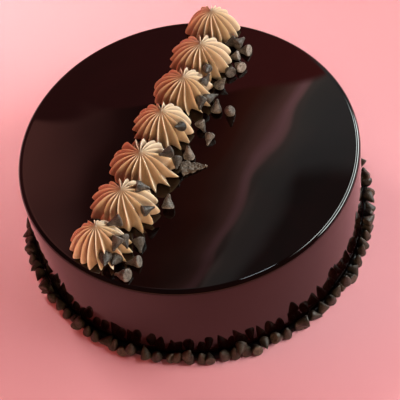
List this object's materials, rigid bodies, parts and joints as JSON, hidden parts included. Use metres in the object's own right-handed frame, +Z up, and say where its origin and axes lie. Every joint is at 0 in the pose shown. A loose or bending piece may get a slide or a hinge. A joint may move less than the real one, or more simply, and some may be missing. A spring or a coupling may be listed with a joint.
{
  "type": "chocolate truffle cake",
  "caption": "Round glazed chocolate cake with a row of piped cream rosettes, chocolate chips and a shard on top, and a ring of chips round its foot.",
  "frame": {"origin": "middle of the cake's flat underside, on the surface that it stands on", "axes": "+Z up; the row of rosettes runs from the front left, -X -Y, to the back, +X +Y; the picture looks along +Y"},
  "size_m": [0.2213, 0.2215, 0.087],
  "materials": {
    "dark_glaze": "mirror glaze, wet and very glossy",
    "chocolate_cream": "piped cream, soft satin",
    "dark_chocolate": "dark chocolate, satin, slightly dusty"
  },
  "bodies": {
    "root": {"cake_body": "dark_glaze", "rosette_1": "chocolate_cream", "rosette_2": "chocolate_cream", "rosette_3": "chocolate_cream", "rosette_4": "chocolate_cream", "rosette_5": "chocolate_cream", "rosette_6": "chocolate_cream", "rosette_7": "chocolate_cream", "chocolate_shard": "dark_chocolate", "base_chips": "dark_chocolate"}
  },
  "joints": []
}
